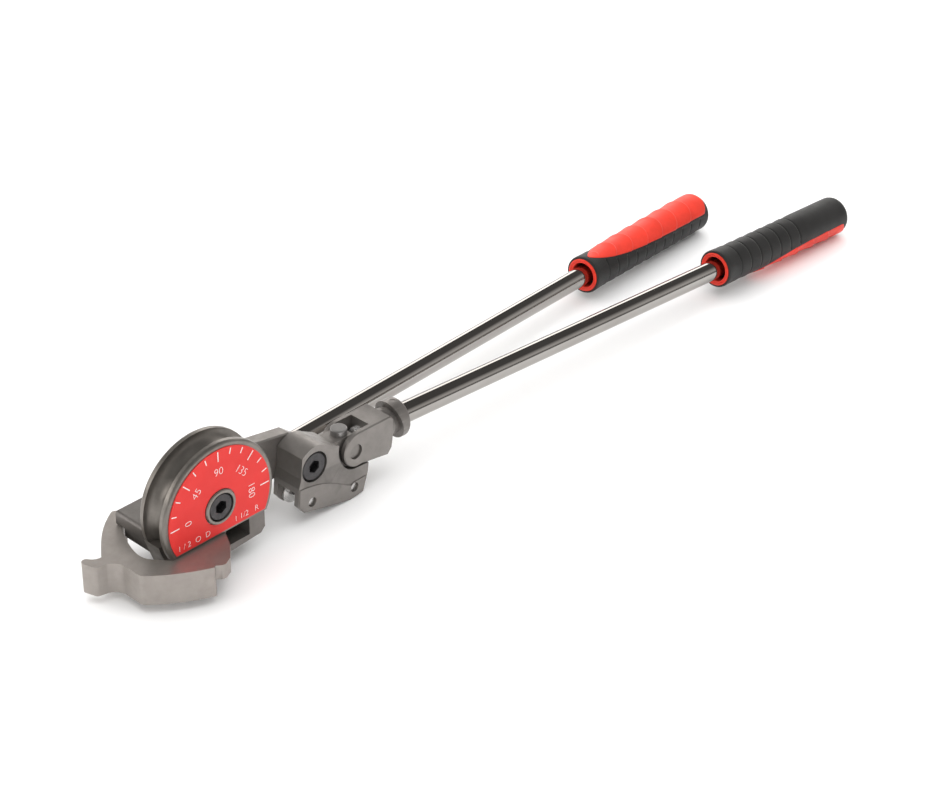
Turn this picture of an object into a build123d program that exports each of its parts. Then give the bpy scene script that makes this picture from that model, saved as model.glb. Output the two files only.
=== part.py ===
from build123d import *
import os

os.makedirs("parts", exist_ok=True)

# Manual tube bender. The origin is the bend centre: the wheel axis in the mid-plane of its groove.
# +X runs toward the handles, +Y toward the back of the tool, +Z up. Millimetres.

# ---- driving dimensions ----
TUBE_D = 12.7
BEND_R = 38.1
GROOVE_R = 6.45
HALF_WIDTH = 10.0
FLAT_Z = -17.8
BUSH_R = 10.3
PIVOT_R = 6.0
DIAL_R = 35.0
FIT = 0.05

ARM_FRONT = 10.3
ARM_BACK = 19.3
ARM_HUB_R = 17.0
ARM_END_R = 12.8
ARM_SWING = 165.0
HEAD_X, HEAD_Z = 68.5, -7.7

LATCH_TOP = -18.3
LATCH_BOTTOM = -36.8
LATCH_PIN_R = 4.0

ROLLER_A = (66.0, -29.6)
ROLLER_B = (98.3, -35.3)
ROLLER_R = 7.0
ROLLER_NECK_R = 4.3
ROLLER_PIN_R = 2.9

FORK_X, FORK_Z = 100.2, -12.7
FORK_END_R = 10.8
FORK_PIN_R = 4.5
FORK_BLOCK_X = 113.0
FORK_GAP_HALF = 7.0
TONGUE_HALF = 5.8

SHOE_ORIGIN = (128.0, 0.4, -11.8)
SHOE_DIR = Vector(1, -0.031, -0.0407).normalized()
REAR_ORIGIN = (75.0, 29.5, -19.5)
REAR_DIR = Vector(1, 0.069, -0.0226).normalized()
GRIP_LEN = 131.0
GRIP_MOUTH_R = 11.7
GRIP_END_R = 13.0

# planes along each handle: local x runs down the handle, local y is radial
shoe_side = SHOE_DIR.cross(Vector(0, 0, 1)).normalized()
rear_side = REAR_DIR.cross(Vector(0, 0, 1)).normalized()
shoe_long = Plane(origin=SHOE_ORIGIN, x_dir=SHOE_DIR, z_dir=shoe_side)
rear_long = Plane(origin=REAR_ORIGIN, x_dir=REAR_DIR, z_dir=rear_side)
shoe_axis = Axis(SHOE_ORIGIN, SHOE_DIR)
rear_axis = Axis(REAR_ORIGIN, REAR_DIR)


def front(y):
    """Plane facing the front of the tool at depth y; local x is X and local y is Z."""
    return Plane.XZ.offset(-y)


# ---- forming wheel: grooved disc with a flat underneath ----
with BuildPart() as forming_wheel:
    with BuildSketch(front(HALF_WIDTH)):
        Circle(BEND_R)
    extrude(amount=2 * HALF_WIDTH)
    fillet(forming_wheel.edges().filter_by(GeomType.CIRCLE), 1.6)
    with BuildSketch(Plane.XY):
        with Locations((BEND_R, 0)):
            Circle(GROOVE_R)
    revolve(axis=Axis.Y, mode=Mode.SUBTRACT)
    with BuildSketch(front(HALF_WIDTH + 1)):
        with Locations((0, FLAT_Z)):
            Rectangle(100, 40, align=(Align.CENTER, Align.MAX))
    extrude(amount=2 * HALF_WIDTH + 2, mode=Mode.SUBTRACT)
    with BuildSketch(front(HALF_WIDTH)):
        Circle(BUSH_R + FIT)
    extrude(amount=2 * HALF_WIDTH, mode=Mode.SUBTRACT)
    with BuildSketch(Plane.XY.offset(FLAT_Z)):
        Circle(LATCH_PIN_R + FIT)
    extrude(amount=5.6, mode=Mode.SUBTRACT)
    # rear half of the rim runs straight on below the flat, beside the latch
    with BuildSketch(front(HALF_WIDTH)):
        with BuildLine():
            Polyline((-35.8, -13), (-34.2, FLAT_Z), (-30.2, -29.5), (-24, -29.5), (-24, -13), close=True)
        make_face()
    extrude(amount=HALF_WIDTH + 2)
    with BuildSketch(Plane(origin=(-35.8, 0, -13), z_dir=(0.342, 0, -0.94))):
        Circle(GROOVE_R)
    extrude(amount=24, mode=Mode.SUBTRACT)
forming_wheel.part.label = "forming_wheel"
export_step(forming_wheel.part, "parts/forming_wheel.step")

# ---- dial plate on the front face of the wheel ----
with BuildPart() as dial_plate:
    with BuildSketch(front(-HALF_WIDTH)):
        Circle(DIAL_R)
        with Locations((0, FLAT_Z + 1.4)):
            Rectangle(100, 40, align=(Align.CENTER, Align.MAX), mode=Mode.SUBTRACT)
        Circle(BUSH_R + 0.3, mode=Mode.SUBTRACT)
    extrude(amount=0.6)
dial_plate.part.label = "dial_plate"
export_step(dial_plate.part, "parts/dial_plate.step")

# ---- white degree marks printed on the dial, every 15 degrees ----
with BuildPart() as dial_marks:
    with BuildSketch(front(-HALF_WIDTH - 0.6)):
        with Locations(*[Pos(0, 0) * Rot(0, 0, 15 * k) * Pos(30.6, 0) for k in range(13)]):
            Rectangle(4.4, 0.6)
    extrude(amount=0.08)
dial_marks.part.label = "dial_marks"
export_step(dial_marks.part, "parts/dial_marks.step")

# ---- hub ring pressed through the wheel, counterbored for the screw head ----
with BuildPart() as wheel_bushing:
    with BuildSketch(front(HALF_WIDTH)):
        Circle(BUSH_R)
        Circle(PIVOT_R + FIT, mode=Mode.SUBTRACT)
    extrude(amount=2 * HALF_WIDTH + 1.6)
    with BuildSketch(front(-5.2)):
        Circle(8.4)
    extrude(amount=10, mode=Mode.SUBTRACT)
    chamfer(wheel_bushing.edges().group_by(Axis.Y)[0].sort_by(SortBy.LENGTH)[-1], 0.5)
wheel_bushing.part.label = "wheel_bushing"
export_step(wheel_bushing.part, "parts/wheel_bushing.step")

# ---- socket head screw: the axle of the link arm, threaded into the frame boss ----
with BuildPart() as wheel_pivot_screw:
    with BuildSketch(front(-5.25)):
        Circle(8.1)
    extrude(amount=5.9)
    chamfer(wheel_pivot_screw.edges().group_by(Axis.Y)[0], 0.8)
    with BuildSketch(front(30.5)):
        Circle(PIVOT_R)
    extrude(amount=35.75)
    chamfer(wheel_pivot_screw.edges().group_by(Axis.Y)[-1], 0.8)
    with BuildSketch(front(-11.15)):
        RegularPolygon(radius=3.5, side_count=6, major_radius=False, rotation=30)
    extrude(amount=-4.0, mode=Mode.SUBTRACT)
wheel_pivot_screw.part.label = "wheel_pivot_screw"
export_step(wheel_pivot_screw.part, "parts/wheel_pivot_screw.step")

# ---- link arm behind the wheel: hub boss, end boss, straight sides ----
with BuildPart() as link_arm:
    with BuildSketch(front(ARM_BACK)):
        Circle(ARM_HUB_R)
        with Locations((HEAD_X, HEAD_Z)):
            Circle(ARM_END_R)
        make_hull()
    extrude(amount=ARM_BACK - ARM_FRONT)
    with BuildSketch(front(ARM_BACK)):
        with BuildLine():
            Polyline((65.1, 8.1), (84, -6.8), (95, 10), (65.1, 12), close=True)
        make_face()
    extrude(amount=ARM_BACK - ARM_FRONT, mode=Mode.SUBTRACT)
    chamfer(link_arm.edges().group_by(Axis.Y)[0], 0.8)
    chamfer(link_arm.edges().group_by(Axis.Y)[-1], 0.8)
    with BuildSketch(front(ARM_BACK)):
        Circle(9.0 + FIT)
        with Locations((HEAD_X, HEAD_Z)):
            Circle(5.0 + FIT)
    extrude(amount=ARM_BACK - ARM_FRONT, mode=Mode.SUBTRACT)
link_arm.part.label = "link_arm"
export_step(link_arm.part, "parts/link_arm.step")

# ---- bearing sleeve in the arm hub ----
with BuildPart() as arm_bush:
    with BuildSketch(front(ARM_BACK - 0.1)):
        Circle(9.0)
        Circle(PIVOT_R + FIT, mode=Mode.SUBTRACT)
    extrude(amount=ARM_BACK - ARM_FRONT - 0.2)
arm_bush.part.label = "arm_bush"
export_step(arm_bush.part, "parts/arm_bush.step")

# ---- frame casting: block beside the wheel, rear plate, handle socket and foot ----
with BuildPart() as frame_body:
    with BuildSketch(front(37)):
        with BuildLine():
            Polyline((-32.6, -10), (-6, -10), (4, 3), (12, 3), (40, -9), (56, -12),
                     (56, -27), (31, -31), (12, -31), (-12, -24), (-32.6, -24), close=True)
        make_face()
    extrude(amount=37 - 19.8)
    with BuildSketch(front(29.5)):
        Circle(10.5)
    extrude(amount=29.5 - 19.8)
    # spot face round the end of the pivot screw
    with BuildSketch(front(40)):
        Circle(11.2)
    extrude(amount=10.5, mode=Mode.SUBTRACT)
    with BuildSketch(front(19.8)):
        with Locations((-32.6, -10)):
            Rectangle(32.6, 14, align=(Align.MIN, Align.MAX))
    extrude(amount=9.8)
    with BuildSketch(front(19.8)):
        with BuildLine():
            Polyline((-12, -28), (20, -28), (20, -19.5), (31, -19.5), (31, -28),
                     (28, -31), (-6, -33), (-12, -33), close=True)
        make_face()
    extrude(amount=9.8)
    with BuildSketch(front(10)):
        with BuildLine():
            Polyline((-12, -28), (20, -28), (20, FLAT_Z), (31, FLAT_Z), (31, -28),
                     (28, -31), (-6, -33), (-12, -33), close=True)
        make_face()
    extrude(amount=20)
    with BuildSketch(rear_long):
        with Locations((-32, 0)):
            Rectangle(30, 9.6, align=(Align.MIN, Align.MIN))
    revolve(axis=rear_axis)
    fillet(frame_body.edges().filter_by(Axis.Y).sort_by(Axis.X)[:2], 2.0)
    with BuildSketch(front(19.8)):
        with Locations((31, 10)):
            Rectangle(60, 60, align=(Align.MIN, Align.MAX))
    extrude(amount=9.8, mode=Mode.SUBTRACT)
    # room for the arm hub and for the arm laid over at the end of its stroke
    with BuildSketch(front(19.8)):
        Circle(ARM_HUB_R + 0.6)
        with Locations(Location((0, 0)) * Pos(*Vector(HEAD_X, HEAD_Z).rotate(Axis.Z, ARM_SWING + 0.8))):
            Circle(ARM_END_R + 0.6)
        make_hull()
    extrude(amount=9.8, mode=Mode.SUBTRACT)
    # the latch ring swings under the back-left corner
    with BuildSketch(Plane.XY.offset(-40)):
        with Locations((-30, 30)):
            Rectangle(60, 60)
        Circle(44.3, mode=Mode.SUBTRACT)
    extrude(amount=40 - 17.8, mode=Mode.SUBTRACT)
    with BuildSketch(rear_long):
        with Locations((-25, 0)):
            Rectangle(40, TUBE_D / 2 + FIT, align=(Align.MIN, Align.MIN))
    revolve(axis=rear_axis, mode=Mode.SUBTRACT)
    with BuildSketch(front(40)):
        Circle(PIVOT_R + FIT)
    extrude(amount=30, mode=Mode.SUBTRACT)
    with BuildSketch(Plane.XY.offset(-34)):
        Circle(LATCH_PIN_R + FIT)
        with Locations((62, 28.6)):
            Circle(2.05)
    extrude(amount=6.5, mode=Mode.SUBTRACT)
    with BuildSketch(Plane.XY.offset(-34)):
        with Locations((62, 28.6)):
            Circle(2.05)
    extrude(amount=30, mode=Mode.SUBTRACT)
frame_body.part.label = "frame_body"
export_step(frame_body.part, "parts/frame_body.step")

# ---- latch pivot pin, seated in the foot and in the wheel ----
with BuildPart() as latch_pin:
    with BuildSketch(Plane.XY.offset(-32.8)):
        Circle(LATCH_PIN_R)
    extrude(amount=20.4)
    chamfer(latch_pin.edges().filter_by(GeomType.CIRCLE), 0.5)
latch_pin.part.label = "latch_pin"
export_step(latch_pin.part, "parts/latch_pin.step")

# ---- tube latch: hook ring around the tube opening, tongue to the pivot ----
with BuildPart() as tube_latch:
    with BuildSketch(Plane.XY.offset(LATCH_BOTTOM)):
        with BuildLine():
            Spline((-27.0, 47.9), (-35.6, 42.4), (-43.9, 35.1), (-51.9, 25.9), (-57.1, 19.2))
            ThreePointArc((-57.1, 19.2), (-60.2, 20.0), (-63.0, 23.0))
            ThreePointArc((-63.0, 23.0), (-66.2, 24.0), (-67.6, 21.5))
            Line((-67.6, 21.5), (-65.9, 15.9))
            ThreePointArc((-65.9, 15.9), (-65.0, 14.2), (-63.4, 13.5))
            Line((-63.4, 13.5), (-59.2, 12.4))
            ThreePointArc((-59.2, 12.4), (-55.2, 9.4), (-53.6, 4.4))
            Line((-53.6, 4.4), (-53.6, -6.4))
            ThreePointArc((-53.6, -6.4), (-52.9, -8.6), (-51.2, -10.4))
            ThreePointArc((-51.2, -10.4), (-37.5, -21.05), (-22.6, -29.3))
            ThreePointArc((-22.6, -29.3), (-20.8, -29.1), (-20.0, -27.5))
            RadiusArc((-20.0, -27.5), (-31, -14), 34)
            Line((-31, -14), (-30.5, -10.5))
            Spline((-30.5, -10.5), (-34.1, -8.3), (-37.3, -4.3), (-40.5, -0.3), (-42.1, 3.7),
                   (-42.0, 9.7), (-38.5, 20.8), (-34.7, 28.7), (-30.5, 34.1), (-25.5, 38.6))
            ThreePointArc((-25.5, 38.6), (-22.6, 43.8), (-27.0, 47.9))
        make_face()
    extrude(amount=LATCH_TOP - LATCH_BOTTOM)
    with BuildSketch(Plane.XY.offset(-27.3)):
        with BuildLine():
            Polyline((-30.5, -9), (-8.0, 4.1), (0, 9), (8.9, 1.4), (1.8, -12.1),
                     (-2.8, -20.4), (-10.5, -29.1), (-16.5, -31.8), (-24, -26), (-33, -14), close=True)
        make_face()
        fillet(vertices().sort_by(Axis.Y)[:2], 3.0)
    extrude(amount=LATCH_TOP + 27.3)
    with BuildSketch(Plane.XY.offset(-27.3)):
        Circle(9)
    extrude(amount=LATCH_TOP + 27.3)
    with BuildSketch(Plane.XY.offset(LATCH_BOTTOM)):
        Circle(LATCH_PIN_R + FIT)
    extrude(amount=30, mode=Mode.SUBTRACT)
tube_latch.part.label = "tube_latch"
export_step(tube_latch.part, "parts/tube_latch.step")

# ---- roller head: cheeks over two rollers, pivot boss and central tongue ----
with BuildPart() as roller_head:
    with BuildSketch(front(10)):
        with BuildLine():
            Polyline((100.2, -23.3), (109.9, -24.1), (109.2, -29.5), (105.3, -41.4), (95, -42.5),
                     (79.5, -39), (59.8, -33.9), (55.5, -28.5), (56.6, -17.1), (58.3, -11.3),
                     (59.6, 1.1))
            RadiusArc((59.6, 1.1), (77.9, 2.2), 13.8)
            Polyline((77.9, 2.2), (85.7, -2.0), (87.3, -3.0))
            ThreePointArc((87.3, -3.0), (87.0, -10.0), (90.3, -17.6))
            ThreePointArc((90.3, -17.6), (94.4, -21.6), (100.2, -23.3))
        make_face()
    extrude(amount=20)
    # raised pad over the lower part of the front cheek
    with BuildSketch(front(-9.9)):
        with BuildLine():
            Spline((57.2, -18.0), (66.4, -19.3), (76.9, -22.5), (86.7, -27.6), (95.6, -33.0))
            Polyline((95.6, -33.0), (98.3, -31.8), (107.7, -31.6), (104.7, -40.6), (95, -41.7), (79.6, -38.2),
                     (60.2, -33.2), (56.4, -28.2), (57.2, -18.0))
        make_face()
    extrude(amount=0.5)
    with BuildSketch(front(TONGUE_HALF)):
        with BuildLine():
            Polyline((84, -3.1), (101.6, -3.1), (101.6, -8), (101.6, -28), (84, -28), close=True)
        make_face()
        with Locations((FORK_X, FORK_Z)):
            Circle(7.9)
    extrude(amount=2 * TONGUE_HALF)
    with BuildSketch(front(6.8)):
        with BuildLine():
            Polyline((50, -20.5), (76, -21.5), (88, -27.3), (115, -27.3), (115, -50), (50, -50), close=True)
        make_face()
    extrude(amount=13.6, mode=Mode.SUBTRACT)
    with BuildSketch(front(10)):
        with Locations((HEAD_X, HEAD_Z)):
            Circle(5.0 + FIT)
        with Locations((FORK_X, FORK_Z)):
            Circle(FORK_PIN_R + FIT)
        with Locations(ROLLER_A, ROLLER_B):
            Circle(ROLLER_PIN_R + FIT)
    extrude(amount=21, mode=Mode.SUBTRACT)
    with BuildSketch(front(-4.4)):
        with Locations((HEAD_X, HEAD_Z)):
            Circle(9.3)
    extrude(amount=8, mode=Mode.SUBTRACT)
    with BuildSketch(Plane.XY.offset(-7.2)):
        with Locations((96.5, 0)):
            Circle(3.0 + FIT)
    extrude(amount=6, mode=Mode.SUBTRACT)
roller_head.part.label = "roller_head"
export_step(roller_head.part, "parts/roller_head.step")

# ---- shoulder screw: axle of the roller head, threaded into the arm ----
with BuildPart() as head_screw:
    with BuildSketch(front(-4.45)):
        with Locations((HEAD_X, HEAD_Z)):
            Circle(8.7)
    extrude(amount=5.2)
    chamfer(head_screw.edges().group_by(Axis.Y)[0], 0.8)
    with BuildSketch(front(19.1)):
        with Locations((HEAD_X, HEAD_Z)):
            Circle(5.0)
    extrude(amount=23.55)
    with BuildSketch(front(-9.65)):
        with Locations((HEAD_X, HEAD_Z)):
            RegularPolygon(radius=3.5, side_count=6, major_radius=False, rotation=30)
    extrude(amount=-3.6, mode=Mode.SUBTRACT)
head_screw.part.label = "head_screw"
export_step(head_screw.part, "parts/head_screw.step")

# ---- grooved rollers ----
with BuildPart() as roller_front:
    with BuildSketch(Plane.XY.offset(ROLLER_A[1])):
        with Locations((ROLLER_A[0] + ROLLER_PIN_R + FIT, 0)):
            Rectangle(ROLLER_R - ROLLER_PIN_R - FIT, 13, align=(Align.MIN, Align.CENTER))
        with Locations((ROLLER_A[0] + ROLLER_NECK_R + GROOVE_R, 0)):
            Circle(GROOVE_R, mode=Mode.SUBTRACT)
    revolve(axis=Axis((ROLLER_A[0], 0, ROLLER_A[1]), (0, 1, 0)))
roller_front.part.label = "roller_front"
export_step(roller_front.part, "parts/roller_front.step")

with BuildPart() as roller_rear:
    with BuildSketch(Plane.XY.offset(ROLLER_B[1])):
        with Locations((ROLLER_B[0] + ROLLER_PIN_R + FIT, 0)):
            Rectangle(ROLLER_R - ROLLER_PIN_R - FIT, 13, align=(Align.MIN, Align.CENTER))
        with Locations((ROLLER_B[0] + ROLLER_NECK_R + GROOVE_R, 0)):
            Circle(GROOVE_R, mode=Mode.SUBTRACT)
    revolve(axis=Axis((ROLLER_B[0], 0, ROLLER_B[1]), (0, 1, 0)))
roller_rear.part.label = "roller_rear"
export_step(roller_rear.part, "parts/roller_rear.step")

with BuildPart() as roller_pins:
    with BuildSketch(front(8.9)):
        with Locations(ROLLER_A, ROLLER_B):
            Circle(ROLLER_PIN_R)
    extrude(amount=17.8)
    chamfer(roller_pins.edges().filter_by(GeomType.CIRCLE), 0.4)
roller_pins.part.label = "roller_pins"
export_step(roller_pins.part, "parts/roller_pins.step")

# ---- stop button on the tongue ----
with BuildPart() as stop_button:
    with BuildSketch(Plane.XY.offset(-3.1)):
        with Locations((96.5, 0)):
            Circle(4.85)
    extrude(amount=3.8)
    fillet(stop_button.edges().group_by(Axis.Z)[-1], 0.7)
    with BuildSketch(Plane.XY.offset(-7.1)):
        with Locations((96.5, 0)):
            Circle(3.0)
    extrude(amount=4.0)
stop_button.part.label = "stop_button"
export_step(stop_button.part, "parts/stop_button.step")

# ---- fork: two cheeks over the tongue, solid block and neck for the handle ----
with BuildPart() as fork:
    with BuildSketch(front(10)):
        with BuildLine():
            Polyline((102.2, -1.2), (127.6, -1.7), (130.0, -4.2), (130.0, -14), (128.6, -22.6),
                     (125.4, -26.3), (104.2, -22.62), (102.2, -12), close=True)
        make_face()
        with Locations((102.2, -12.0)):
            Circle(FORK_END_R)
    extrude(amount=20)
    chamfer(fork.edges().group_by(Axis.Y)[0], 0.6)
    chamfer(fork.edges().group_by(Axis.Y)[-1], 0.6)
    with BuildSketch(shoe_long):
        with Locations((-8, 0)):
            Rectangle(13.4, 8.6, align=(Align.MIN, Align.MIN))
    revolve(axis=shoe_axis)
    with BuildSketch(front(FORK_GAP_HALF)):
        with Locations((80, 5)):
            Rectangle(FORK_BLOCK_X - 80, 40, align=(Align.MIN, Align.MAX))
    extrude(amount=2 * FORK_GAP_HALF, mode=Mode.SUBTRACT)
    with BuildSketch(front(10)):
        with Locations((FORK_X, FORK_Z)):
            Circle(FORK_PIN_R + FIT)
    extrude(amount=20, mode=Mode.SUBTRACT)
    with BuildSketch(shoe_long):
        with Locations((-20, 0)):
            Rectangle(40, 5.0 + FIT, align=(Align.MIN, Align.MIN))
        with Locations((-9, 0)):
            Rectangle(30, TUBE_D / 2 + FIT, align=(Align.MIN, Align.MIN))
    revolve(axis=shoe_axis, mode=Mode.SUBTRACT)
fork.part.label = "fork"
export_step(fork.part, "parts/fork.step")

with BuildPart() as fork_pin:
    with BuildSketch(front(8.8)):
        with Locations((FORK_X, FORK_Z)):
            Circle(FORK_PIN_R)
    extrude(amount=17.6)
    chamfer(fork_pin.edges().filter_by(GeomType.CIRCLE), 0.5)
fork_pin.part.label = "fork_pin"
export_step(fork_pin.part, "parts/fork_pin.step")

# ---- spring plunger inside the handle ----
with BuildPart() as plunger:
    with BuildSketch(shoe_long):
        with BuildLine():
            Polyline((-19.4, 0), (6, 0), (6, 1.8), (-4, 1.8), (-4, 5), (-17.3, 5))
            ThreePointArc((-17.3, 5), (-18.8, 4.4), (-19.4, 3.0))
            Line((-19.4, 3.0), (-19.4, 0))
        make_face()
    revolve(axis=shoe_axis)
plunger.part.label = "plunger"
export_step(plunger.part, "parts/plunger.step")

with BuildPart() as plunger_spring:
    with BuildLine():
        coil = Helix(3.0, 18.0, 3.4, center=shoe_axis.position + SHOE_DIR * -3.3, direction=SHOE_DIR)
    with BuildSketch(Plane(origin=coil @ 0, z_dir=coil % 0)):
        Circle(0.6)
    sweep(path=coil, is_frenet=True)
plunger_spring.part.label = "plunger_spring"
export_step(plunger_spring.part, "parts/plunger_spring.step")

with BuildPart() as spring_seat:
    with BuildSketch(shoe_long):
        with Locations((21.6, 0)):
            Rectangle(4, 5.0, align=(Align.MIN, Align.MIN))
    revolve(axis=shoe_axis)
spring_seat.part.label = "spring_seat"
export_step(spring_seat.part, "parts/spring_seat.step")

# ---- cam collar on the turning handle, pinned to its tube ----
collar_pin_plane = Plane(origin=shoe_axis.position + SHOE_DIR * 10.5, z_dir=shoe_long.y_dir)

with BuildPart() as cam_collar:
    with BuildSketch(shoe_long):
        with Locations((6.0, 0)):
            Rectangle(8.6, 11.8, align=(Align.MIN, Align.MIN))
        with Locations((6.0, 0)):
            Rectangle(8.6, TUBE_D / 2 + FIT, align=(Align.MIN, Align.MIN), mode=Mode.SUBTRACT)
    revolve(axis=shoe_axis)
    # the cam face slopes: the gap to the fork's neck is widest below
    with BuildSketch(Plane(origin=shoe_axis.position + SHOE_DIR * 8.6, z_dir=SHOE_DIR.rotate(Axis.Y, -12))):
        Circle(20)
        Circle(8.2, mode=Mode.SUBTRACT)
    extrude(amount=-8, mode=Mode.SUBTRACT)
    with BuildSketch(collar_pin_plane):
        Circle(1.6 + FIT)
    extrude(amount=14, mode=Mode.SUBTRACT)
    fillet(cam_collar.edges().filter_by(GeomType.CIRCLE).group_by(SortBy.RADIUS)[-1], 1.2)
cam_collar.part.label = "cam_collar"
export_step(cam_collar.part, "parts/cam_collar.step")

with BuildPart() as collar_pin:
    with BuildSketch(collar_pin_plane.offset(5.3)):
        Circle(1.6)
    extrude(amount=6.2)
collar_pin.part.label = "collar_pin"
export_step(collar_pin.part, "parts/collar_pin.step")

# ---- handle tubes ----
with BuildPart() as shoe_tube:
    with BuildSketch(shoe_long):
        with Locations((-8.8, 5.1)):
            Rectangle(430, TUBE_D / 2 - 5.1, align=(Align.MIN, Align.MIN))
    revolve(axis=shoe_axis)
    with BuildSketch(collar_pin_plane):
        Circle(1.6 + FIT)
    extrude(amount=14, mode=Mode.SUBTRACT)
shoe_tube.part.label = "shoe_tube"
export_step(shoe_tube.part, "parts/shoe_tube.step")

with BuildPart() as mandrel_tube:
    with BuildSketch(rear_long):
        with Locations((-24.9, 5.1)):
            Rectangle(440, TUBE_D / 2 - 5.1, align=(Align.MIN, Align.MIN))
    revolve(axis=rear_axis)
    with BuildSketch(Plane.XY.offset(-34)):
        with Locations((62, 28.6)):
            Circle(2.05)
    extrude(amount=30, mode=Mode.SUBTRACT)
mandrel_tube.part.label = "mandrel_tube"
export_step(mandrel_tube.part, "parts/mandrel_tube.step")

with BuildPart() as socket_pin:
    with BuildSketch(Plane.XY.offset(-28.6)):
        with Locations((62, 28.6)):
            Circle(2.0)
    extrude(amount=18.4)
socket_pin.part.label = "socket_pin"
export_step(socket_pin.part, "parts/socket_pin.step")

# ---- grips: ribbed sleeve, smooth teardrop insert in its skin, liner ring at the mouth ----
SHOE_GRIP_AT = 301.5
REAR_GRIP_AT = 291.0
RIB_PITCH = 10.4
SKIN = 1.4


def grip_plane(origin, direction, start, around):
    """Plane at a grip mouth: local x down the grip, local z out through the insert."""
    down = Vector(0, 1, 0).cross(direction).normalized()
    out = down.rotate(Axis((0, 0, 0), direction), around)
    return Plane(origin=Vector(*origin) + direction * start, x_dir=direction, z_dir=out)


shoe_grip = grip_plane(SHOE_ORIGIN, SHOE_DIR, SHOE_GRIP_AT, -24)
rear_grip = grip_plane(REAR_ORIGIN, REAR_DIR, REAR_GRIP_AT, 186)

with BuildPart() as shoe_grip_insert:
    with BuildSketch(Plane(origin=shoe_grip.origin, x_dir=SHOE_DIR, z_dir=shoe_grip.y_dir)):
        with BuildLine():
            Polyline((1, GRIP_MOUTH_R - SKIN), (1, GRIP_MOUTH_R + 0.2), (GRIP_LEN - 3, GRIP_END_R + 0.2),
                     (GRIP_LEN - 3, GRIP_END_R - SKIN), close=True)
        make_face()
    revolve(axis=shoe_axis)
    with BuildSketch(shoe_grip):
        with BuildLine():
            Line((26, 0), (62, 11))
            Spline((62, 11), (90, 12.4), (GRIP_LEN - 4, 10))
            Line((GRIP_LEN - 4, 10), (GRIP_LEN - 4, -10))
            Spline((GRIP_LEN - 4, -10), (90, -12.4), (62, -11))
            Line((62, -11), (26, 0))
        make_face()
    extrude(amount=20, mode=Mode.INTERSECT)
shoe_grip_insert.part.label = "shoe_grip_insert"
export_step(shoe_grip_insert.part, "parts/shoe_grip_insert.step")

with BuildPart() as shoe_grip_sleeve:
    with BuildSketch(Plane(origin=shoe_grip.origin, x_dir=SHOE_DIR, z_dir=shoe_grip.y_dir)):
        with BuildLine():
            Polyline((0, TUBE_D / 2 + FIT), (0, 11.0), (1.0, GRIP_MOUTH_R), (GRIP_LEN - 4, GRIP_END_R))
            RadiusArc((GRIP_LEN - 4, GRIP_END_R), (GRIP_LEN, GRIP_END_R - 4), 4)
            Polyline((GRIP_LEN, GRIP_END_R - 4), (GRIP_LEN, 0), (GRIP_LEN - 6, 0),
                     (GRIP_LEN - 6, TUBE_D / 2 + FIT), (0, TUBE_D / 2 + FIT))
        make_face()
        with Locations(*[(9 + RIB_PITCH * k, GRIP_MOUTH_R + 0.55 + 0.1 * k) for k in range(11)]):
            Circle(0.9, mode=Mode.SUBTRACT)
    revolve(axis=shoe_axis)
    add(shoe_grip_insert.part, mode=Mode.SUBTRACT)
shoe_grip_sleeve.part.label = "shoe_grip_sleeve"
export_step(shoe_grip_sleeve.part, "parts/shoe_grip_sleeve.step")

with BuildPart() as mandrel_grip_insert:
    with BuildSketch(Plane(origin=rear_grip.origin, x_dir=REAR_DIR, z_dir=rear_grip.y_dir)):
        with BuildLine():
            Polyline((1, GRIP_MOUTH_R - SKIN), (1, GRIP_MOUTH_R + 0.2), (GRIP_LEN - 3, GRIP_END_R + 0.2),
                     (GRIP_LEN - 3, GRIP_END_R - SKIN), close=True)
        make_face()
    revolve(axis=rear_axis)
    with BuildSketch(rear_grip):
        with BuildLine():
            Spline((6, 0), (14, 6.5), (32, 9.8), (70, 12), (GRIP_LEN - 4, 11.5))
            Line((GRIP_LEN - 4, 11.5), (GRIP_LEN - 4, -11.5))
            Spline((GRIP_LEN - 4, -11.5), (70, -12), (32, -9.8), (14, -6.5), (6, 0))
        make_face()
    extrude(amount=20, mode=Mode.INTERSECT)
mandrel_grip_insert.part.label = "mandrel_grip_insert"
export_step(mandrel_grip_insert.part, "parts/mandrel_grip_insert.step")

with BuildPart() as mandrel_grip_sleeve:
    with BuildSketch(Plane(origin=rear_grip.origin, x_dir=REAR_DIR, z_dir=rear_grip.y_dir)):
        with BuildLine():
            Polyline((0, TUBE_D / 2 + FIT), (0, 11.0), (1.0, GRIP_MOUTH_R), (GRIP_LEN - 4, GRIP_END_R))
            RadiusArc((GRIP_LEN - 4, GRIP_END_R), (GRIP_LEN, GRIP_END_R - 4), 4)
            Polyline((GRIP_LEN, GRIP_END_R - 4), (GRIP_LEN, 0), (GRIP_LEN - 6, 0),
                     (GRIP_LEN - 6, TUBE_D / 2 + FIT), (0, TUBE_D / 2 + FIT))
        make_face()
        with Locations(*[(9 + RIB_PITCH * k, GRIP_MOUTH_R + 0.55 + 0.1 * k) for k in range(11)]):
            Circle(0.9, mode=Mode.SUBTRACT)
    revolve(axis=rear_axis)
    add(mandrel_grip_insert.part, mode=Mode.SUBTRACT)
mandrel_grip_sleeve.part.label = "mandrel_grip_sleeve"
export_step(mandrel_grip_sleeve.part, "parts/mandrel_grip_sleeve.step")

with BuildPart() as shoe_grip_liner:
    with BuildSketch(shoe_long):
        with Locations((SHOE_GRIP_AT - 2.2, TUBE_D / 2 + FIT)):
            Rectangle(2.2, 4.0, align=(Align.MIN, Align.MIN))
    revolve(axis=shoe_axis)
    fillet(shoe_grip_liner.edges().filter_by(GeomType.CIRCLE).group_by(SortBy.RADIUS)[-1], 0.8)
shoe_grip_liner.part.label = "shoe_grip_liner"
export_step(shoe_grip_liner.part, "parts/shoe_grip_liner.step")

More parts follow.
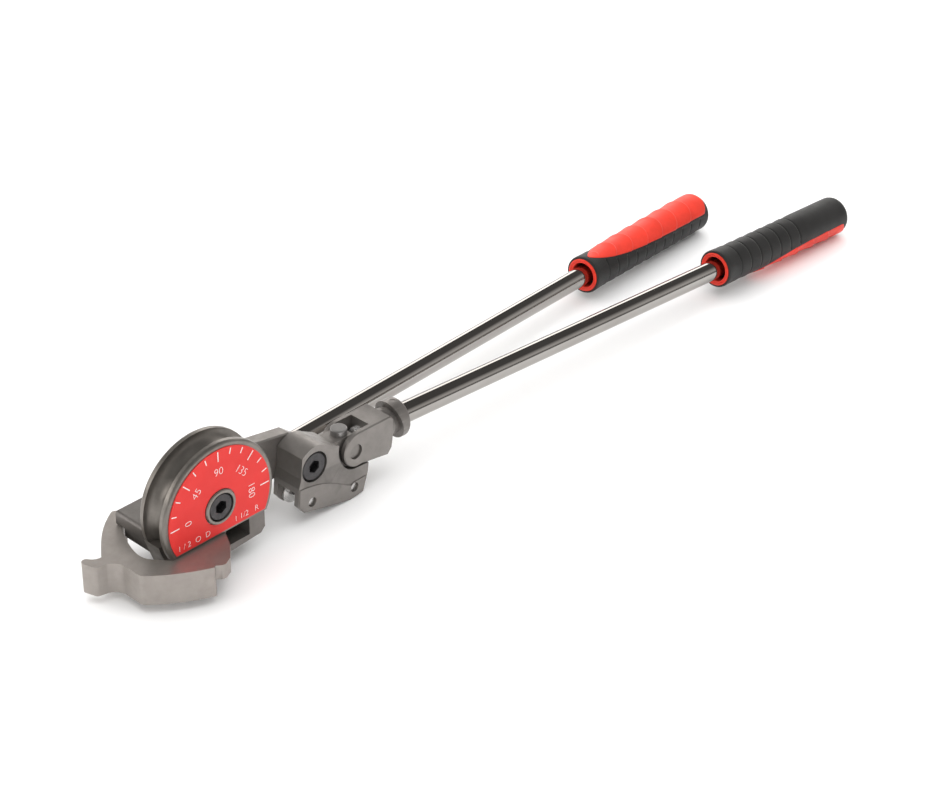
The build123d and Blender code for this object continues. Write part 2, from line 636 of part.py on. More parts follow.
with BuildPart() as mandrel_grip_liner:
    with BuildSketch(rear_long):
        with Locations((REAR_GRIP_AT - 2.2, TUBE_D / 2 + FIT)):
            Rectangle(2.2, 4.0, align=(Align.MIN, Align.MIN))
    revolve(axis=rear_axis)
    fillet(mandrel_grip_liner.edges().filter_by(GeomType.CIRCLE).group_by(SortBy.RADIUS)[-1], 0.8)
mandrel_grip_liner.part.label = "mandrel_grip_liner"
export_step(mandrel_grip_liner.part, "parts/mandrel_grip_liner.step")
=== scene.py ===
"""Manual tube bender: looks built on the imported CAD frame.

Metres, with the wheel's axis at the origin, +X to the grips, +Y to the back and +Z up.
"""
import math
import bpy
import bmesh
from mathutils import Matrix, Vector


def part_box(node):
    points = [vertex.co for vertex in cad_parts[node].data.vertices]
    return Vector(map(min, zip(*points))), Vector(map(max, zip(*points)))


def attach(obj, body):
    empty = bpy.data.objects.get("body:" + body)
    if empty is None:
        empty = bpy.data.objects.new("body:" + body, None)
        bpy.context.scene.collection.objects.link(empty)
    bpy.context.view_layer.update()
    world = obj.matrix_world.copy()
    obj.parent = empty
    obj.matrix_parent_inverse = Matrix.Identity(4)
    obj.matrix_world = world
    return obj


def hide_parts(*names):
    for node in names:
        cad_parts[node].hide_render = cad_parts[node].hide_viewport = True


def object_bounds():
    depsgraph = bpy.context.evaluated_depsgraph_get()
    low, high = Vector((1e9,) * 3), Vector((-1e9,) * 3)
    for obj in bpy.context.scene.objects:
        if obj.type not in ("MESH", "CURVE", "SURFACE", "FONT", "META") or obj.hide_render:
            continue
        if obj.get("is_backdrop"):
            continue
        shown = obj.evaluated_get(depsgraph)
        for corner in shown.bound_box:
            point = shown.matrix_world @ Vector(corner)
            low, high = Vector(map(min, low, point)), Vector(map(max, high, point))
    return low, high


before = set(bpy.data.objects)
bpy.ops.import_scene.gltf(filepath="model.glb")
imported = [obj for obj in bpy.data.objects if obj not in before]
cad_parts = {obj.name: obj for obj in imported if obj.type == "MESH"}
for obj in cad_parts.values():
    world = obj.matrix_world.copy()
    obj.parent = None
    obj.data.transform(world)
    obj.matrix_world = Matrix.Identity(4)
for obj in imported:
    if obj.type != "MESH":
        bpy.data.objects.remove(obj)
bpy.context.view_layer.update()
MM = 0.001


# ---------------------------------------------------------------- camera
CAMERA_PLACE = Vector((-613.9, -746.6, 659.3)) * MM
CAMERA_RIGHT = Vector((0.6836, -0.7297, 0.0163))
CAMERA_UP = Vector((0.3758, 0.3711, 0.8491))
CAMERA_LENS = 85.25
CAMERA_SENSOR = 36.0
CAMERA_FAR = 20.0


def add_camera():
    data = bpy.data.cameras.new("photo_camera")
    data.sensor_width = CAMERA_SENSOR
    data.lens = CAMERA_LENS
    data.clip_end = CAMERA_FAR
    cam = bpy.data.objects.new("photo_camera", data)
    bpy.context.scene.collection.objects.link(cam)
    right = CAMERA_RIGHT.normalized()
    up = CAMERA_UP.normalized()
    back = right.cross(up).normalized()
    up = back.cross(right)
    turn = Matrix((right, up, back)).transposed().to_4x4()
    cam.matrix_world = Matrix.Translation(CAMERA_PLACE) @ turn
    bpy.context.scene.camera = cam


add_camera()


# ---------------------------------------------------------------- node helpers
# a Mix node's sockets by number: its colour ones share their names with the float ones
MIX_FACTOR, MIX_A, MIX_B, MIX_RESULT = 0, 6, 7, 2
AXIS_X, AXIS_Y, AXIS_Z = 0, 1, 2


class Mat:
    """A Principled material with short ways to add procedural detail."""

    def __init__(self, name, color, metallic, rough, **sockets):
        self.mat = bpy.data.materials.new(name)
        self.mat.use_nodes = True
        self.nt = self.mat.node_tree
        self.bsdf = self.nt.nodes["Principled BSDF"]
        self.bsdf.inputs["Base Color"].default_value = (*color, 1)
        self.bsdf.inputs["Metallic"].default_value = metallic
        self.bsdf.inputs["Roughness"].default_value = rough
        for key, value in sockets.items():
            self.bsdf.inputs[key.replace("_", " ")].default_value = value
        self.coord = self.node("ShaderNodeTexCoord").outputs["Object"]
        self.normal = None

    def node(self, kind, **settings):
        n = self.nt.nodes.new(kind)
        for key, value in settings.items():
            setattr(n, key, value)
        return n

    def link(self, a, b):
        self.nt.links.new(a, b)

    def noise(self, scale, detail=4.0, rough=0.55, stretch=None):
        n = self.node("ShaderNodeTexNoise")
        n.inputs["Scale"].default_value = scale
        n.inputs["Detail"].default_value = detail
        n.inputs["Roughness"].default_value = rough
        src = self.coord
        if stretch:
            m = self.node("ShaderNodeMapping")
            m.inputs["Scale"].default_value = stretch
            self.link(self.coord, m.inputs["Vector"])
            src = m.outputs["Vector"]
        self.link(src, n.inputs["Vector"])
        return n.outputs["Fac"]

    def ramp(self, fac, stops):
        r = self.node("ShaderNodeValToRGB")
        els = r.color_ramp.elements
        while len(els) < len(stops):
            els.new(0.5)
        for el, (pos, col) in zip(els, stops):
            el.position = pos
            el.color = (*col, 1)
        self.link(fac, r.inputs["Fac"])
        return r.outputs["Color"]

    def span(self, fac, low, high, out_low, out_high):
        m = self.node("ShaderNodeMapRange")
        ends = {"From Min": low, "From Max": high, "To Min": out_low, "To Max": out_high}
        for key, value in ends.items():
            m.inputs[key].default_value = value
        self.link(fac, m.inputs["Value"])
        return m.outputs["Result"]

    def math(self, op, a, b=None):
        m = self.node("ShaderNodeMath", operation=op)
        for sock, value in zip(m.inputs, (a, b)):
            if value is None:
                continue
            if isinstance(value, (int, float)):
                sock.default_value = value
            else:
                self.link(value, sock)
        return m.outputs[0]

    def mix(self, fac, a, b):
        """Blend a colour output towards the plain colour b."""
        m = self.node("ShaderNodeMix", data_type="RGBA")
        self.link(fac, m.inputs[MIX_FACTOR])
        self.link(a, m.inputs[MIX_A])
        m.inputs[MIX_B].default_value = (*b, 1)
        return m.outputs[MIX_RESULT]

    def paint(self, color_out):
        self.link(color_out, self.bsdf.inputs["Base Color"])

    def roughen(self, value_out):
        self.link(value_out, self.bsdf.inputs["Roughness"])

    def bump(self, height, strength, distance):
        b = self.node("ShaderNodeBump")
        b.inputs["Strength"].default_value = strength
        b.inputs["Distance"].default_value = distance
        self.link(height, b.inputs["Height"])
        if self.normal:
            self.link(self.normal, b.inputs["Normal"])
        self.normal = b.outputs["Normal"]
        self.link(self.normal, self.bsdf.inputs["Normal"])

    def edges(self, low=0.505, high=0.56):
        g = self.node("ShaderNodeNewGeometry")
        return self.span(g.outputs["Pointiness"], low, high, 0.0, 1.0)

    def radial(self, axis):
        """Distance from the piece's own axis AXIS_X, AXIS_Y or AXIS_Z."""
        s = self.node("ShaderNodeSeparateXYZ")
        self.link(self.coord, s.inputs[0])
        a, b = [s.outputs[i] for i in range(3) if i != axis]
        squares = self.math("ADD", self.math("MULTIPLY", a, a), self.math("MULTIPLY", b, b))
        return self.math("SQRT", squares)


def scaled(color, k):
    return tuple(min(1.0, c * k) for c in color)


def cast_metal(name, color, rough=0.42, grain=1.0, wear=0.35):
    """Satin grey steel: mottled tone, fine blasted grain, brighter worn edges."""
    m = Mat(name, color, 0.75, rough)
    mottle = m.noise(90, 5, 0.6)
    tone = m.ramp(mottle, [(0.3, scaled(color, 0.82)), (0.55, color), (0.8, scaled(color, 1.22))])
    m.paint(m.mix(m.math("MULTIPLY", m.edges(), wear), tone, scaled(color, 1.9)))
    m.roughen(m.span(m.noise(240, 4), 0.3, 0.7, rough - 0.08, rough + 0.1))
    m.bump(m.noise(1600, 3, 0.7), 0.25 * grain, 0.00025)
    m.bump(m.noise(180, 4, 0.5), 0.12 * grain, 0.0008)
    return m.mat


def turned_metal(name, color, rough, axis):
    """Machined steel with faint turning rings round its axis."""
    m = Mat(name, color, 0.8, rough)
    rings = m.node("ShaderNodeTexNoise", noise_dimensions="1D")
    rings.inputs["Scale"].default_value = 2600
    rings.inputs["Detail"].default_value = 3
    m.link(m.radial(axis), rings.inputs["W"])
    mottle = m.noise(70, 5, 0.6)
    tone = m.ramp(mottle, [(0.3, scaled(color, 0.8)), (0.6, color), (0.85, scaled(color, 1.2))])
    m.paint(m.mix(m.math("MULTIPLY", m.edges(), 0.4), tone, scaled(color, 1.7)))
    m.roughen(m.span(m.noise(160, 4), 0.3, 0.7, rough - 0.06, rough + 0.1))
    m.bump(rings.outputs["Fac"], 0.1, 0.0002)
    return m.mat


def chrome(name):
    """Polished plate with faint marks drawn out along X."""
    m = Mat(name, (0.37, 0.352, 0.335), 1.0, 0.07)
    m.roughen(m.span(m.noise(60, 5, 0.6, stretch=(0.2, 1, 1)), 0.35, 0.75, 0.05, 0.11))
    m.paint(m.ramp(m.noise(14, 4), [(0.35, (0.345, 0.328, 0.31)), (0.7, (0.40, 0.382, 0.365))]))
    m.bump(m.noise(900, 2, 0.5, stretch=(0.05, 1, 1)), 0.02, 0.0001)
    return m.mat


def black_oxide(name):
    """Near-black finish that has rubbed grey on its edges."""
    m = Mat(name, (0.035, 0.034, 0.036), 0.7, 0.32)
    worn = m.math("MULTIPLY", m.edges(0.51, 0.6), 0.5)
    tone = m.ramp(m.noise(300, 4), [(0.3, (0.022, 0.022, 0.024)), (0.7, (0.05, 0.048, 0.05))])
    m.paint(m.mix(worn, tone, (0.16, 0.15, 0.15)))
    m.roughen(m.span(m.noise(500, 3), 0.3, 0.7, 0.26, 0.42))
    m.bump(m.noise(1500, 2), 0.08, 0.0002)
    return m.mat


def rubber(name, color, rough, grain=0.3):
    """Matt moulded rubber with a slightly uneven tone."""
    m = Mat(name, color, 0.0, rough, Specular_IOR_Level=0.3)
    m.paint(m.ramp(m.noise(45, 6, 0.65), [(0.3, scaled(color, 0.85)), (0.7, scaled(color, 1.12))]))
    m.roughen(m.span(m.noise(120, 5), 0.3, 0.7, rough - 0.07, rough + 0.08))
    m.bump(m.noise(2200, 3, 0.7), grain, 0.00018)
    return m.mat


def printed_red(name):
    """Red ink on the dial face."""
    m = Mat(name, (0.75, 0.042, 0.038), 0.0, 0.42, Specular_IOR_Level=0.2)
    m.paint(m.ramp(m.noise(55, 5, 0.6), [(0.25, (0.71, 0.037, 0.034)), (0.75, (0.79, 0.047, 0.042))]))
    m.roughen(m.span(m.noise(260, 4), 0.3, 0.7, 0.36, 0.5))
    m.bump(m.noise(1300, 2), 0.06, 0.00015)
    return m.mat


def printed_white(name):
    """White ink, a little thin over the red."""
    m = Mat(name, (0.86, 0.78, 0.77), 0.0, 0.4)
    m.paint(m.ramp(m.noise(700, 3), [(0.3, (0.84, 0.70, 0.69)), (0.7, (0.90, 0.83, 0.82))]))
    return m.mat


CAST = cast_metal("cast_steel_satin", (0.190, 0.177, 0.166))
FRAME = cast_metal("frame_cast_dark", (0.150, 0.140, 0.131), 0.46)
LATCH = cast_metal("latch_steel_satin", (0.275, 0.252, 0.233), 0.45, 0.8)
WHEEL = turned_metal("wheel_steel_turned", (0.195, 0.180, 0.163), 0.34, AXIS_Y)
BRIGHT = turned_metal("bright_ground_steel", (0.55, 0.54, 0.53), 0.22, AXIS_Y)
BUTTON = turned_metal("button_steel", (0.27, 0.262, 0.255), 0.36, AXIS_Z)
# painted highlight: the plunger's base colour is lifted far above ground steel's so that its shaded nose
# still shows a bright spot
PLUNGER_PAINTED_HIGHLIGHT = turned_metal("plunger_steel_painted_highlight", (0.85, 0.84, 0.82), 0.25, AXIS_X)
BRONZE = turned_metal("bearing_bronze", (0.42, 0.27, 0.12), 0.35, AXIS_Y)
CHROME = chrome("chrome_plate")
OXIDE = black_oxide("black_oxide")
RED = printed_red("dial_red_print")
WHITE = printed_white("dial_white_print")
RUBBER = rubber("grip_black_rubber", (0.021, 0.0205, 0.020), 0.48)
RED_RUBBER = rubber("grip_red_rubber", (0.78, 0.045, 0.025), 0.42, 0.18)

NODE_MATERIALS = {
    "frame_body": FRAME, "forming_wheel": WHEEL, "dial_plate": RED, "wheel_bushing": WHEEL,
    "wheel_pivot_screw": OXIDE, "link_arm": CAST, "arm_bush": BRONZE, "latch_pin": BRIGHT,
    "tube_latch": LATCH, "roller_head": CAST, "head_screw": OXIDE, "roller_front": BRIGHT,
    "roller_rear": BRIGHT, "roller_pins": BRIGHT, "stop_button": BUTTON, "fork": CAST,
    "fork_pin": CAST, "plunger": PLUNGER_PAINTED_HIGHLIGHT, "plunger_spring": BRIGHT, "spring_seat": BRIGHT,
    "cam_collar": CAST, "collar_pin": CAST, "shoe_tube": CHROME, "mandrel_tube": CHROME,
    "socket_pin": BRIGHT,
}
for name, mat in NODE_MATERIALS.items():
    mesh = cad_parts[name].data
    mesh.materials.clear()
    mesh.materials.append(mat)

# widths in mm of the worn edges
BEVEL_ANGLE = 38
BEVELS = {
    "tube_latch": 0.7, "roller_head": 0.55, "fork": 0.4, "frame_body": 0.6, "link_arm": 0.3,
    "cam_collar": 0.4, "forming_wheel": 0.3,
}
for name, width in BEVELS.items():
    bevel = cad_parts[name].modifiers.new("worn_edges", "BEVEL")
    bevel.width = width * MM
    bevel.segments = 2
    bevel.limit_method = "ANGLE"
    bevel.angle_limit = math.radians(BEVEL_ANGLE)
    bevel.harden_normals = True


# ---------------------------------------------------------------- mesh helpers
def linked(name, data):
    obj = bpy.data.objects.new(name, data)
    bpy.context.scene.collection.objects.link(obj)
    return obj


def mesh_object(name, verts, faces, material):
    """A smooth-shaded object from plain lists."""
    mesh = bpy.data.meshes.new(name)
    mesh.from_pydata(verts, [], faces)
    mesh.materials.append(material)
    mesh.shade_smooth()
    return linked(name, mesh)


def from_bmesh(name, bm, material):
    """A flat-shaded object from a bmesh, which is freed."""
    mesh = bpy.data.meshes.new(name)
    bmesh.ops.recalc_face_normals(bm, faces=bm.faces)
    bm.to_mesh(mesh)
    bm.free()
    mesh.materials.append(material)
    return linked(name, mesh)


# ---------------------------------------------------------------- dial marks
DIAL_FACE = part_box("dial_plate")[0][1]
MARK = 0.12 * MM
NUMBERED_ANGLES = (0, 45, 90, 135, 180)
TICK_STEP = 15
TICK_OUTER = 34.1
LONG_TICK_INNER, LONG_TICK_WIDTH = 28.2, 0.62
SHORT_TICK_INNER, SHORT_TICK_WIDTH = 30.6, 0.60
TICK_BEVEL = 0.02
NUMBER_RADIUS, NUMBER_SIZE = 21.8, 6.6
LEGEND_SIZE, LEGEND_Z = 5.0, -12.9
LEGENDS = (("dial_tube_size", "1 / 2  O  D", -18.8), ("dial_bend_radius", "1 1/2   R", 17.8))
LETTER_THINNING = 0.022


def mark_plane(angle_deg, radius):
    """Plane on the dial face with its +Y out along the radius; the angle is 0 at -X and 90 at the top."""
    a = math.radians(180 - angle_deg)
    out = Vector((math.cos(a), 0, math.sin(a)))
    normal = Vector((0, -1, 0))
    side = out.cross(normal)
    m = Matrix((side, out, normal)).transposed().to_4x4()
    m.translation = out * radius + Vector((0, DIAL_FACE, 0))
    return m


def tick(bm, angle, inner, outer, width):
    plane = mark_plane(angle, (inner + outer) / 2)
    lift = Matrix.Translation((0, 0, MARK / 2))
    size = Matrix.Diagonal((width, outer - inner, MARK, 1))
    made = bmesh.ops.create_cube(bm, size=1.0)
    bmesh.ops.transform(bm, verts=made["verts"], matrix=plane @ lift @ size)


def dial_ticks():
    bm = bmesh.new()
    for angle in range(0, 181, TICK_STEP):
        inner, width = SHORT_TICK_INNER, SHORT_TICK_WIDTH
        if angle in NUMBERED_ANGLES:
            inner, width = LONG_TICK_INNER, LONG_TICK_WIDTH
        tick(bm, angle, inner * MM, TICK_OUTER * MM, width * MM)
    bmesh.ops.bevel(bm, geom=bm.edges[:], offset=TICK_BEVEL * MM, segments=1, affect="EDGES")
    return from_bmesh("dial_ticks", bm, WHITE)


def lettering(name, text, size, matrix):
    """Raised letters on the plane of the matrix, as a mesh."""
    curve = bpy.data.curves.new(name, "FONT")
    curve.body = text
    curve.size = size
    curve.align_x = "CENTER"
    curve.align_y = "CENTER"
    curve.extrude = MARK / 2
    curve.offset = -LETTER_THINNING * size
    curve.resolution_u = 4
    source = linked(name + "_source", curve)
    bpy.context.view_layer.update()
    evaluated = source.evaluated_get(bpy.context.evaluated_depsgraph_get())
    mesh = bpy.data.meshes.new_from_object(evaluated)
    bpy.data.objects.remove(source)
    mesh.transform(matrix @ Matrix.Translation((0, 0, MARK / 2)))
    mesh.materials.clear()
    mesh.materials.append(WHITE)
    return linked(name, mesh)


def dial_marks():
    ticks = dial_ticks()
    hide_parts("dial_marks")
    made = [ticks]
    for angle in NUMBERED_ANGLES:
        plane = mark_plane(angle, NUMBER_RADIUS * MM)
        made.append(lettering("dial_number_%d" % angle, str(angle), NUMBER_SIZE * MM, plane))
    upright = mark_plane(90, 0)
    for name, text, x in LEGENDS:
        plane = upright @ Matrix.Translation((x * MM, LEGEND_Z * MM, 0))
        made.append(lettering(name, text, LEGEND_SIZE * MM, plane))
    for obj in made:
        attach(obj, "mandrel")


dial_marks()


# ---------------------------------------------------------------- grips
# mm; s is the distance from a grip's mouth along its tube
GRIP_LEN = 131.0
MOUTH_R, END_R = 12.2, 13.0
BORE_R, END_DIMPLE_R = 6.42, 5.0
BORE_BOTTOM = 6.0
END_ROUND = 5.0
RIB_START = 13.0
RIB_PITCH = 10.4
RIB_DEPTH, RIB_GROOVE = 0.75, 0.65
PANEL_PITCH = 16.5
PANEL_TAIL = 2.6
PANEL_STEP = 0.9
PANEL_BED = 1.7
PANEL_HALF_ANGLE = 70.0
AROUND = 144
PANEL_ACROSS = 36

# a point on each handle tube's axis and the way it runs to its grip, m
TUBES = {
    "shoe_tube": ((0.128, 0.0004, -0.0118), (1, -0.031, -0.0407)),
    "mandrel_tube": ((0.075, 0.0295, -0.0195), (1, 0.069, -0.0226)),
}


def grip_radius(s):
    """Outer radius of the smooth grip at s, with a swell at its mouth and a rounded end."""
    t = min(max(s / (GRIP_LEN - 6), 0), 1)
    swell = 0.35 * math.exp(-((s - 1.5) / 5.0) ** 2)
    r = MOUTH_R + (END_R - MOUTH_R) * (t ** 0.8) + swell
    end = GRIP_LEN - s
    if end < END_ROUND:
        r -= END_ROUND - math.sqrt(max(0.0, END_ROUND ** 2 - (END_ROUND - end) ** 2))
    return r


def rib_cut(s, last):
    """How far the black skin drops into its scale-like ribs, which end at the last one."""
    if not RIB_START < s < RIB_START + RIB_PITCH * last:
        return 0.0
    along = (s - RIB_START) % RIB_PITCH
    slope = RIB_DEPTH * (1.0 - along / RIB_PITCH) ** 1.5
    groove = RIB_GROOVE * math.exp(-((along - 0.9) / 0.55) ** 2)
    return (slope + groove) * min(along / 0.35, 1.0)


def panel_half(s, nose):
    """Half-angle of the red panel at s, a teardrop from its nose to near the grip's end."""
    tail = GRIP_LEN - PANEL_TAIL
    if s <= nose or s >= tail:
        return 0.0
    rise = 1.0 - math.exp(-((s - nose) / 22.0) ** 0.8)
    fall = min(1.0, math.sqrt((tail - s) / 5.0))
    return math.radians(PANEL_HALF_ANGLE) * rise * fall


def panel_step(s, u):
    """Shallow overlapping scales on the red panel; u runs from -1 to 1 across it."""
    t = ((s + 6.0 * u * u + 4.0) % PANEL_PITCH) / PANEL_PITCH
    to_border = max(0.0, 1.0 - u ** 8)
    to_mouth = min(1.0, s / 30.0)
    to_end = min(1.0, max(0.0, (GRIP_LEN - 7.0 - s) / 8.0))
    scale = PANEL_STEP * (t ** 2.4) * min(1.0, (1.0 - t) / 0.05)
    return (scale - 0.15) * (to_border * to_mouth * to_end)


def grip_frame(tube, grip, tilt):
    """Origin at the grip's mouth on the tube axis, local x down the grip and z out through the panel."""
    root = Vector(TUBES[tube][0])
    direction = Vector(TUBES[tube][1]).normalized()
    near_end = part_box(grip)[0][0]
    start = (near_end - root.x) / direction.x + abs(direction.z) * MOUTH_R * MM
    down = Vector((0, 1, 0)).cross(direction).normalized()
    out = Matrix.Rotation(math.radians(tilt), 3, direction) @ down
    side = out.cross(direction)
    m = Matrix((direction, side, out)).transposed().to_4x4()
    m.translation = root + direction * start
    return m


def ring_point(m, s, r, a):
    """Point at s along the grip, radius r and angle a from the middle of the panel."""
    return m @ (Vector((s, r * math.sin(a), r * math.cos(a))) * MM)


def sleeve_stations():
    """Where the sleeve's rings stand: close together at the mouth, in each groove and round the end."""
    stations = [0.0, 0.25, 0.6, 1.0]
    s = 1.5
    while s < GRIP_LEN - 5.2:
        stations.append(s)
        along = (s - RIB_START) % RIB_PITCH
        in_groove = s > RIB_START - 0.5 and (along < 2.4 or along > RIB_PITCH - 0.3)
        s += 0.2 if in_groove else 0.75
    turn = [math.radians(k * 10) for k in range(10)]
    return stations + [GRIP_LEN - END_ROUND + END_ROUND * math.sin(a) for a in turn]


def sleeve_mesh(name, m, nose, ribs):
    """The black skin, hollow for its tube; its ribs fade out beside the red panel."""
    verts, rings = [], []

    def add_ring(s, r, cut=0.0):
        half = panel_half(s, nose) + 0.05
        rings.append([len(verts) + k for k in range(AROUND)])
        for k in range(AROUND):
            a = 2 * math.pi * k / AROUND
            beside = min(1.0, max(0.0, (min(a, 2 * math.pi - a) - half) / 0.12))
            verts.append(ring_point(m, s, r - cut * beside, a))

    # bore, mouth lip, skin, rounded end
    add_ring(9.0, BORE_R)
    add_ring(9.0, 9.6)
    add_ring(0.9, 10.7)
    add_ring(0.15, 11.2)
    for s in sleeve_stations():
        lip = 0.5 * max(0.0, 1.0 - s / 0.9) ** 2
        add_ring(s, grip_radius(s) - lip, rib_cut(s, ribs))
    add_ring(GRIP_LEN, END_DIMPLE_R)
    add_ring(GRIP_LEN - 0.8, END_DIMPLE_R - 0.8)
    faces = []
    for a, b in zip(rings, rings[1:]):
        for k in range(AROUND):
            j = (k + 1) % AROUND
            faces.append((a[k], a[j], b[j], b[k]))
    faces.append(tuple(rings[-1]))
    back = [len(verts) + k for k in range(AROUND)]
    for k in range(AROUND):
        verts.append(ring_point(m, GRIP_LEN - BORE_BOTTOM, BORE_R, 2 * math.pi * k / AROUND))
    for k in range(AROUND):
        j = (k + 1) % AROUND
        faces.append((rings[0][j], rings[0][k], back[k], back[j]))
    faces.append(tuple(back))
    return mesh_object(name, verts, faces, RUBBER)


def panel_stations(nose):
    """Where the panel's rows stand: close together at its nose and its tail."""
    stations = [nose + 0.15 + 2.5 * (k / 10.0) ** 2 for k in range(10)]
    s = nose + 3.0
    while s < GRIP_LEN - 10.0:
        stations.append(s)
        s += 0.4
    return stations + [GRIP_LEN - 2.8 - 6.0 * (1 - k / 14.0) ** 2 for k in range(14)]


def panel_mesh(name, m, nose):
    """The red insert: a closed shell bedded in the black skin, with a rounded border."""
    stations = panel_stations(nose)
    verts, outer, inner = [], [], []
    for s in stations:
        half = max(panel_half(s, nose), 0.02)
        ends = min(1.0, (s - nose) / 1.2, GRIP_LEN - PANEL_TAIL - s)
        row_out, row_in = [], []
        for k in range(PANEL_ACROSS + 1):
            u = -1.0 + 2.0 * k / PANEL_ACROSS
            edge = math.sqrt(max(0.0, 1.0 - abs(u) ** 14))
            crown = 0.6 * edge * math.sqrt(max(0.0, ends))
            r = grip_radius(s) - 0.35 + crown + panel_step(s, u)
            row_out.append(len(verts))
            verts.append(ring_point(m, s, r, half * u))
            row_in.append(len(verts))
            verts.append(ring_point(m, s, grip_radius(s) - PANEL_BED, half * u))
        outer.append(row_out)
        inner.append(row_in)
    faces = []
    for i in range(len(stations) - 1):
        for k in range(PANEL_ACROSS):
            faces.append((outer[i][k], outer[i][k + 1], outer[i + 1][k + 1], outer[i + 1][k]))
            faces.append((inner[i][k + 1], inner[i][k], inner[i + 1][k], inner[i + 1][k + 1]))
        faces.append((outer[i][0], outer[i + 1][0], inner[i + 1][0], inner[i][0]))
        faces.append((outer[i + 1][-1], outer[i][-1], inner[i][-1], inner[i + 1][-1]))
    for k in range(PANEL_ACROSS):
        faces.append((outer[0][k + 1], outer[0][k], inner[0][k], inner[0][k + 1]))
        faces.append((outer[-1][k], outer[-1][k + 1], inner[-1][k + 1], inner[-1][k]))
    return mesh_object(name, verts, faces, RED_RUBBER)


# section of the ring as (s, radius): its bore, the inner lip, a groove, the outer lip and its back
LINER_SECTION = (
    (8.0, 8.1), (1.0, 8.15), (0.3, 8.3), (0.0, 8.6), (0.05, 8.95), (0.5, 9.15), (0.5, 9.4),
    (-0.2, 9.9), (-0.45, 10.4), (-0.4, 10.8), (-0.1, 11.1), (0.5, 11.0), (1.2, 10.4), (8.0, 9.5),
)


def liner_mesh(name, m):
    """Red ring inside the grip's mouth, with rounded lips."""
    verts, faces = [], []
    for s, r in LINER_SECTION:
        verts.extend(ring_point(m, s, r, 2 * math.pi * k / AROUND) for k in range(AROUND))
    n = len(LINER_SECTION)
    for i in range(n):
        for k in range(AROUND):
            j = (k + 1) % AROUND
            a, b = i * AROUND, ((i + 1) % n) * AROUND
            faces.append((a + k, b + k, b + j, a + j))
    return mesh_object(name, verts, faces, RED_RUBBER)


def add_grip(prefix, tube, body, tilt, nose, ribs):
    """One grip; tilt turns its panel from straight down, nose is where the panel starts, in mm."""
    m = grip_frame(tube, prefix + "_grip_sleeve", tilt)
    pieces = (
        (sleeve_mesh(prefix + "_sleeve_ribbed", m, nose, ribs), prefix + "_grip_sleeve", "grip_black"),
        (panel_mesh(prefix + "_panel_red", m, nose), prefix + "_grip_insert", "grip_red"),
        (liner_mesh(prefix + "_liner_ring", m), prefix + "_grip_liner", "grip_red"),
    )
    for obj, node, slot in pieces:
        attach(obj, body)
        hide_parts(node)


add_grip("shoe", "shoe_tube", "handle", tilt=-24, nose=33.0, ribs=7)
add_grip("mandrel", "mandrel_tube", "mandrel", tilt=186, nose=3.0, ribs=11)


# ---------------------------------------------------------------- stage and light
FLOOR_HALF = 6.0
# the studio by height, as (0 straight down to 1 straight up, brightness): a bright low wall under
# a dark ceiling behind the object, and a dim low wall with grey above it in front
BACK_WALL = (
    (0.0, 0.8), (0.49, 0.3), (0.555, 0.08), (0.58, 2.8), (0.71, 2.8), (0.75, 0.12), (1.0, 0.12),
)
FRONT_WALL = (
    (0.0, 0.8), (0.49, 0.4), (0.505, 0.22), (0.56, 0.30), (0.66, 0.80), (0.76, 0.45), (0.82, 0.12),
)
# where one wall turns into the other, by the Y part of the direction
WALLS_MEET = (-0.15, 0.2)


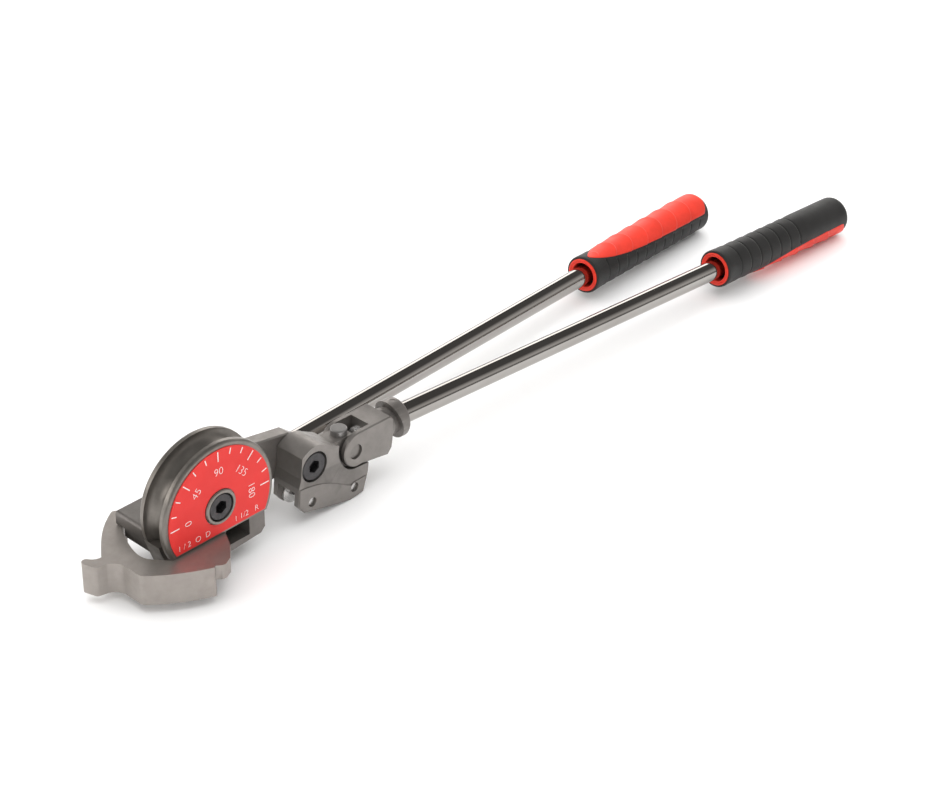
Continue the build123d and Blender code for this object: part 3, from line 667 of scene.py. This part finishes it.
def add_floor(z):
    bm = bmesh.new()
    bmesh.ops.create_grid(bm, x_segments=1, y_segments=1, size=FLOOR_HALF)
    for v in bm.verts:
        v.co.z = z
    m = Mat("floor_paper", (0.92, 0.92, 0.92), 0.0, 0.85)
    m.paint(m.ramp(m.noise(3, 3), [(0.3, (0.915, 0.915, 0.915)), (0.7, (0.93, 0.93, 0.93))]))
    floor = from_bmesh("floor", bm, m.mat)
    floor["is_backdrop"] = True


def area(name, place, target, size, power):
    """A soft rectangular light that mirrors don't show."""
    data = bpy.data.lights.new(name, "AREA")
    data.shape = "RECTANGLE"
    data.size, data.size_y = size
    data.energy = power
    obj = linked(name, data)
    place = Vector(place)
    obj.location = place
    obj.rotation_euler = (Vector(target) - place).to_track_quat("-Z", "Y").to_euler()
    obj.visible_glossy = False


def add_world():
    world = bpy.data.worlds.new("studio")
    world.use_nodes = True
    bpy.context.scene.world = world
    nt = world.node_tree
    coord = nt.nodes.new("ShaderNodeTexCoord")
    split = nt.nodes.new("ShaderNodeSeparateXYZ")
    nt.links.new(coord.outputs["Generated"], split.inputs[0])
    half = nt.nodes.new("ShaderNodeMath")
    half.operation = "MULTIPLY_ADD"
    half.inputs[1].default_value = 0.5
    half.inputs[2].default_value = 0.5
    nt.links.new(split.outputs["Z"], half.inputs[0])

    def sky(stops):
        ramp = nt.nodes.new("ShaderNodeValToRGB")
        els = ramp.color_ramp.elements
        while len(els) < len(stops):
            els.new(0.5)
        for el, (pos, v) in zip(els, stops):
            el.position = pos
            el.color = (v, v * 0.975, v * 0.95, 1)
        nt.links.new(half.outputs[0], ramp.inputs["Fac"])
        return ramp.outputs["Color"]

    back = sky(BACK_WALL)
    fore = sky(FRONT_WALL)
    side = nt.nodes.new("ShaderNodeMapRange")
    side.inputs["From Min"].default_value = WALLS_MEET[0]
    side.inputs["From Max"].default_value = WALLS_MEET[1]
    nt.links.new(split.outputs["Y"], side.inputs["Value"])
    mix = nt.nodes.new("ShaderNodeMix")
    mix.data_type = "RGBA"
    nt.links.new(side.outputs["Result"], mix.inputs[MIX_FACTOR])
    nt.links.new(fore, mix.inputs[MIX_A])
    nt.links.new(back, mix.inputs[MIX_B])
    nt.links.new(mix.outputs[MIX_RESULT], nt.nodes["Background"].inputs["Color"])
    nt.nodes["Background"].inputs["Strength"].default_value = 1.0


add_floor(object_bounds()[0][2])
add_world()
area("overhead_soft", (0.25, 0.0, 1.6), (0.25, 0, 0), (2.6, 2.6), 44)
area("back_panel", (1.6, 1.3, 1.05), (0.2, 0, 0), (2.2, 0.9), 14)
area("front_fill", (-1.2, -1.2, 0.9), (0.1, 0, 0), (1.2, 0.8), 9)
bpy.context.scene.view_settings.view_transform = "Standard"
